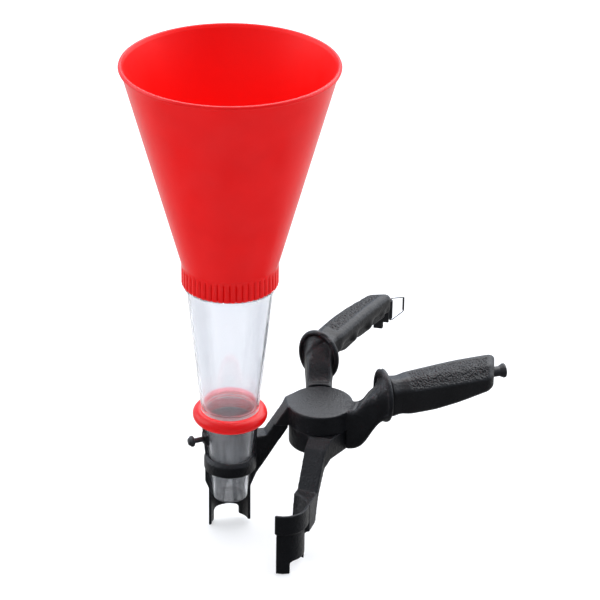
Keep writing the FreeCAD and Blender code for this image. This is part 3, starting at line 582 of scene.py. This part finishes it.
moulded("funnel_lever", "funnel_lever_body_shell", 0.7, 4, BLACK, "funnel_lever_body", upper_detail)
moulded("clamp_lever", "clamp_lever_body_shell", 0.7, 4, BLACK, "clamp_lever_body", lower_detail)


# ------------------------------------------------------------------ grips
def grip_outline(s):
    """Rounded section of the grip at a distance s from the guard: (lateral, z) points, and each one's zone,
    which counts the six corners and the flats after them."""
    palm_top, finger_top, finger_low, palm_low = [np.interp(s, GRIP_STATIONS, h) for h in GRIP_HEIGHTS]
    bulge = math.sin(math.pi * min(max((s - 4) / 86, 0), 1))
    tall = float(step(s, 5, 60)) * 1.6
    corners = [(GRIP_FINGER, finger_top + tall), (GRIP_FINGER, finger_low), (GRIP_KEEL, palm_low + 1.0),
               (GRIP_PALM - 1.6 * bulge, palm_low), (GRIP_PALM - 2.6 * bulge, palm_top - GRIP_BEVEL + tall),
               (GRIP_RIDGE - 2.0 * bulge, palm_top + tall)]
    out = []
    zone = []
    arcs = []
    for i in range(6):
        corner = (*corners[i], GRIP_CORNER_RADII[i])
        arcs.append(rounded([(*corners[i - 1], 0), corner, (*corners[(i + 1) % 6], 0)], 7)[1:-1])
    for i in range(6):
        out += arcs[i]
        zone += [i + k / 8.0 * 0.5 for k in range(8)]
        a = arcs[i][-1]
        b = arcs[(i + 1) % 6][0]
        n = GRIP_EDGE_STEPS[i]
        for k in range(1, n):
            out.append(a + (b - a) * k / n)
            zone.append(i + 0.5 + 0.5 * k / n)
    return np.array(out), np.array(zone)


def outline_normals(points):
    """Outward unit normals of a closed section."""
    d = np.roll(points, -1, 0) - np.roll(points, 1, 0)
    n = np.stack([d[:, 1], -d[:, 0]], 1)
    n /= np.linalg.norm(n, axis=1)[:, None]
    if ((points - points.mean(0)) * n).sum() < 0:
        n = -n
    return n


def make_grip(name, place, body, node):
    """Moulded grip: groove behind the guard, waist, finger hollows, pebbled top, rounded end."""
    first = GUARD_HALF
    rings = []
    pebbles = []
    length = GRIP_LENGTH - first
    plan = [(t, 0.0) for t in np.arange(0.0, length - GRIP_END_ROUND, GRIP_SPACING)]
    plan += [(length - GRIP_END_ROUND * (1 - math.sin(a)), GRIP_END_INSET * (1 - math.cos(a)))
             for a in np.linspace(0, math.pi / 2, 22)]
    for t, inset in plan:
        s = first + t
        points, zone = grip_outline(s)
        normals = outline_normals(points)
        offset = np.zeros(len(points))
        for at, width, depth in GRIP_GROOVES:
            offset -= depth * math.exp(-((s - at) / width) ** 2)
        finger = step(zone, 0.6, 1.1) * (1 - step(zone, 2.0, 2.5))
        wave = sum(share * math.exp(-((s - at) / 5.0) ** 2) for at, share in FINGER_RIDGES)
        live = float(step(s, 16, 26) * (1 - step(s, 80, 88)))
        offset -= finger * live * (FINGER_DEPTH - FINGER_RISE * min(wave, 1.0))
        top = step(zone, 4.1, 4.45) * (1 - step(zone, 5.85, 5.99))
        grain = float(step(s, 17, 21) * (1 - step(s, 82, 86)))
        pebbles.append(top * grain)
        if grain > 0:
            for i in np.nonzero(top > 0.01)[0]:
                lateral, z = points[i]
                d = noise.voronoi((s / PEBBLE_CELL, lateral / PEBBLE_CELL, z / PEBBLE_CELL))[0][0]
                offset[i] += top[i] * grain * (PEBBLE_TOP - PEBBLE_SLOPE * min(d, 0.75))
        points = points + normals * (offset - inset)[:, None]
        end = GRIP_LENGTH + GRIP_END_SLOPE * points[:, 0]
        along = first + t * (end - first) / length
        rings.append(handle_point(along, points[:, 0], points[:, 1]))
    count = len(rings[0])
    last = rings[-1]
    middle = last.mean(0)
    for shrink in (0.9, 0.7, 0.45, 0.2):
        rings.append(middle + (last - middle) * shrink)
    verts = place(np.concatenate(rings))
    faces = grid_faces(len(rings), count, False)
    faces.append(tuple(range(count)))
    faces.append(tuple(range((len(rings) - 1) * count, len(rings) * count)))
    obj = make_object(name, verts, faces, GRIP, body, [node], 50)
    pebbles += [np.zeros(count)] * (len(rings) - len(pebbles))
    obj.data.attributes.new("pebble", "FLOAT", "POINT").data.foreach_set("value", np.concatenate(pebbles))


make_grip("funnel_lever_grip_cover", upper, "funnel_lever_body", "funnel_lever_grip")
make_grip("clamp_lever_grip_cover", lower, "clamp_lever_body", "clamp_lever_grip")

# ------------------------------------------------------------------ latch and thumb screw
moulded("latch_post", "latch_post_stud", 0.22, 3, POST, "funnel_lever_body")
moulded("latch_bracket", "latch_bracket_plate", 0.3, 3, POST, "clamp_lever_body")
moulded("thumb_screw", "thumb_screw_knob", 0.18, 3, POST, "thumb_screw_body")


def bend_corners(points, radius, steps):
    """Open path with its inner corners rounded."""
    out = [points[0]]
    for a, p, b in zip(points, points[1:], points[2:]):
        u = (a - p) / np.linalg.norm(a - p)
        v = (b - p) / np.linalg.norm(b - p)
        half = math.acos(float(u @ v)) / 2
        reach = min(radius / math.tan(half), 0.45 * np.linalg.norm(a - p), 0.45 * np.linalg.norm(b - p))
        r = reach * math.tan(half)
        axis = (u + v) / np.linalg.norm(u + v)
        centre = p + axis * r / math.sin(half)
        start = (p + u * reach - centre) / r
        end = (p + v * reach - centre) / r
        turn = math.acos(max(-1.0, min(1.0, float(start @ end))))
        for k in range(steps + 1):
            t = k / steps
            w = (math.sin((1 - t) * turn) * start + math.sin(t * turn) * end) / math.sin(turn)
            out.append(centre + w * r)
    out.append(points[-1])
    return out


def wire(name, path, radius, sides, mat, body, nodes):
    """Round wire swept along a path, with slightly rounded ends."""
    path = np.array(path)
    tips = ((0.0, 0.55), (0.12, 0.85), (0.4, 1.0))
    rings = []
    normal = None
    for i, p in enumerate(path):
        ahead = path[min(i + 1, len(path) - 1)] - path[max(i - 1, 0)]
        ahead /= np.linalg.norm(ahead)
        if normal is None:
            normal = np.cross(ahead, (0.3, 0.9, 0.2))
        normal = normal - ahead * (normal @ ahead)
        normal /= np.linalg.norm(normal)
        side = np.cross(ahead, normal)
        turn = 2 * np.pi * np.arange(sides) / sides
        ring = np.outer(np.cos(turn), normal) + np.outer(np.sin(turn), side)
        if i == 0:
            rings += [p + ahead * (k * radius * 1.2) + ring * radius * w for k, w in tips]
        elif i == len(path) - 1:
            rings += [p - ahead * (k * radius * 1.2) + ring * radius * w for k, w in reversed(tips)]
        else:
            rings.append(p + ring * radius)
    faces = grid_faces(len(rings), sides, False)
    faces.append(tuple(range(sides)))
    faces.append(tuple(range((len(rings) - 1) * sides, len(rings) * sides)))
    make_object(name, np.concatenate(rings), faces, mat, body, nodes, 50)


def hinge_point(z):
    """Lever-frame point on the bail's hinge."""
    return handle_point(GRIP_LENGTH + BRACKET_BACK, BAIL_INSET, z)


swing = HANDLE_TURN + BAIL_REST_TURN
reach = np.array([math.cos(swing), math.sin(swing), 0.0]) * BAIL_REACH
bail_path = [hinge_point(HANDLE_Z + 3), hinge_point(HANDLE_Z + BAIL_HALF_FOOT),
             hinge_point(HANDLE_Z + BAIL_HALF_BAR) + reach,
             hinge_point(HANDLE_Z - BAIL_HALF_BAR) + reach,
             hinge_point(HANDLE_Z - BAIL_HALF_FOOT), hinge_point(HANDLE_Z - 3)]
bail_path = bend_corners([lower(p) for p in bail_path], 1.8, 7)
wire("latch_bail_wire", bail_path, BAIL_WIRE_R, 20, SPRING, "bail_body", ["latch_bail"])

# ------------------------------------------------------------------ CAD nodes that stay as they are
KEPT_NODES = {"hopper_seal": SEAL, "pivot_bolt": STEEL, "pivot_bush": BRONZE, "pivot_head_washer": STEEL,
              "pivot_insert": BRASS, "pivot_thrust_washer": NYLON, "lever_spring": SPRING,
              "latch_post_screw": STEEL, "latch_bracket_screws": STEEL, "thumb_screw_insert": DARK_BRASS}
for node, mat in KEPT_NODES.items():
    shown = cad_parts[node]
    if not shown.material_slots:
        shown.data.materials.append(mat)
    for place in shown.material_slots:
        place.material = mat

# ------------------------------------------------------------------ floor and light
floor_z = size_before[0][2] - 0.0004
bpy.ops.mesh.primitive_plane_add(size=30, location=(0, 0, floor_z))
floor = bpy.context.object
floor.name = "floor"
paper = Finish("floor_paper", Roughness=0.9, Specular_IOR_Level=0.1)
paper.shader.inputs["Emission Color"].default_value = (1, 1, 1, 1)
paper.shader.inputs["Emission Strength"].default_value = 0.45
paper.put("Base Color", paper.ramp(paper.noise(3, 3), 0.3, 0.7, (0.52, 0.52, 0.52), (0.54, 0.54, 0.54)))
floor.data.materials.append(paper.mat)
# Its reflection would turn the black plastic grey.
floor.visible_glossy = False


def sun(name, azimuth, elevation, strength, angle):
    """Very broad sun from a bearing; azimuth 0 is on the camera's side (-Y), 180 beyond the object."""
    data = bpy.data.lights.new(name, "SUN")
    data.energy = strength
    data.angle = math.radians(angle)
    obj = bpy.data.objects.new(name, data)
    bpy.context.scene.collection.objects.link(obj)
    a, e = math.radians(azimuth), math.radians(elevation)
    toward = Vector((math.sin(a) * math.cos(e), -math.cos(a) * math.cos(e), math.sin(e)))
    obj.rotation_mode = "QUATERNION"
    obj.rotation_quaternion = toward.to_track_quat("Z", "Y")


sun("key_light", 150, 62, 3.4, 80)
sun("fill_light", -40, 45, 0.38, 90)
sun("left_side_light", -105, 18, 1.0, 60)
sun("right_side_light", 105, 18, 1.0, 60)

world = bpy.data.worlds.new("studio")
bpy.context.scene.world = world
world.use_nodes = True
sky = world.node_tree.nodes["Background"]
sky.inputs["Strength"].default_value = 1.0


def world_node(kind, operation=None):
    node = world.node_tree.nodes.new(kind)
    if operation:
        node.operation = operation
    return node


def world_span(source, low, high, a, b):
    """Value that changes from a to b while the source goes from low to high."""
    node = world_node("ShaderNodeMapRange")
    for key, value in (("From Min", low), ("From Max", high), ("To Min", a), ("To Max", b)):
        node.inputs[key].default_value = value
    world.node_tree.links.new(source, node.inputs["Value"])
    return node.outputs["Result"]


join = world.node_tree.links.new
direction = world_node("ShaderNodeTexCoord").outputs["Generated"]
split = world_node("ShaderNodeSeparateXYZ")
join(direction, split.inputs["Vector"])
# How far a direction points beyond the object (+1) or towards the camera's side (-1).
beyond = world_node("ShaderNodeVectorMath", "DOT_PRODUCT")
beyond.inputs[1].default_value = (0.156, 0.988, 0.0)
join(direction, beyond.inputs[0])
# Dark below the horizon, brightest just above it, calmer overhead; dimmer on the camera's side.
glow = world_node("ShaderNodeValToRGB")
glow.color_ramp.elements[0].position = 0.44
glow.color_ramp.elements[0].color = (0.0, 0.0, 0.0, 1)
glow.color_ramp.elements[1].position = 0.56
glow.color_ramp.elements[1].color = (0.78, 0.91, 1.12, 1)
glow.color_ramp.elements.new(1.0).color = (0.56, 0.60, 0.68, 1)
join(world_span(split.outputs["Z"], -1.0, 1.0, 0.0, 1.0), glow.inputs["Fac"])
above = world_node("ShaderNodeVectorMath", "SCALE")
join(glow.outputs["Color"], above.inputs[0])
join(world_span(beyond.outputs["Value"], -0.9, 0.1, 0.14, 1.1), above.inputs["Scale"])
# A bright ground beyond the object, for the low reflections that the hidden floor would give.
below = world_node("ShaderNodeMath", "MULTIPLY")
join(world_span(split.outputs["Z"], -0.12, 0.0, 1.0, 0.0), below.inputs[0])
join(world_span(beyond.outputs["Value"], -0.1, 0.8, 0.03, 0.75), below.inputs[1])
both = world_node("ShaderNodeVectorMath", "ADD")
join(above.outputs["Vector"], both.inputs[0])
join(below.outputs["Value"], both.inputs[1])
join(both.outputs["Vector"], sky.inputs["Color"])

# ------------------------------------------------------------------ camera
CAMERA_TURN = math.radians(-9.0)
PITCH = math.radians(27.12)
ROLL = math.radians(0.7608)
look = Vector((0, math.cos(PITCH), -math.sin(PITCH)))
level = Vector((1, 0, 0))
rise = Vector((0, math.sin(PITCH), math.cos(PITCH)))
right = level * math.cos(ROLL) + rise * math.sin(ROLL)
over = rise * math.cos(ROLL) - level * math.sin(ROLL)
turn_to_model = Matrix.Rotation(CAMERA_TURN, 3, "Z")
axes = Matrix((turn_to_model @ right, turn_to_model @ over, turn_to_model @ -look)).transposed()
camera_data = bpy.data.cameras.new("camera")
camera_data.lens = 162
camera_data.sensor_width = 36
camera_data.clip_start = 0.05
camera_data.clip_end = 50
camera_data.dof.use_dof = False
camera = bpy.data.objects.new("camera", camera_data)
bpy.context.scene.collection.objects.link(camera)
camera.matrix_world = Matrix.Translation(turn_to_model @ Vector((0.051845, -1.782167, 1.08112))) @ axes.to_4x4()
bpy.context.scene.camera = camera
bpy.context.scene.view_settings.view_transform = "Standard"
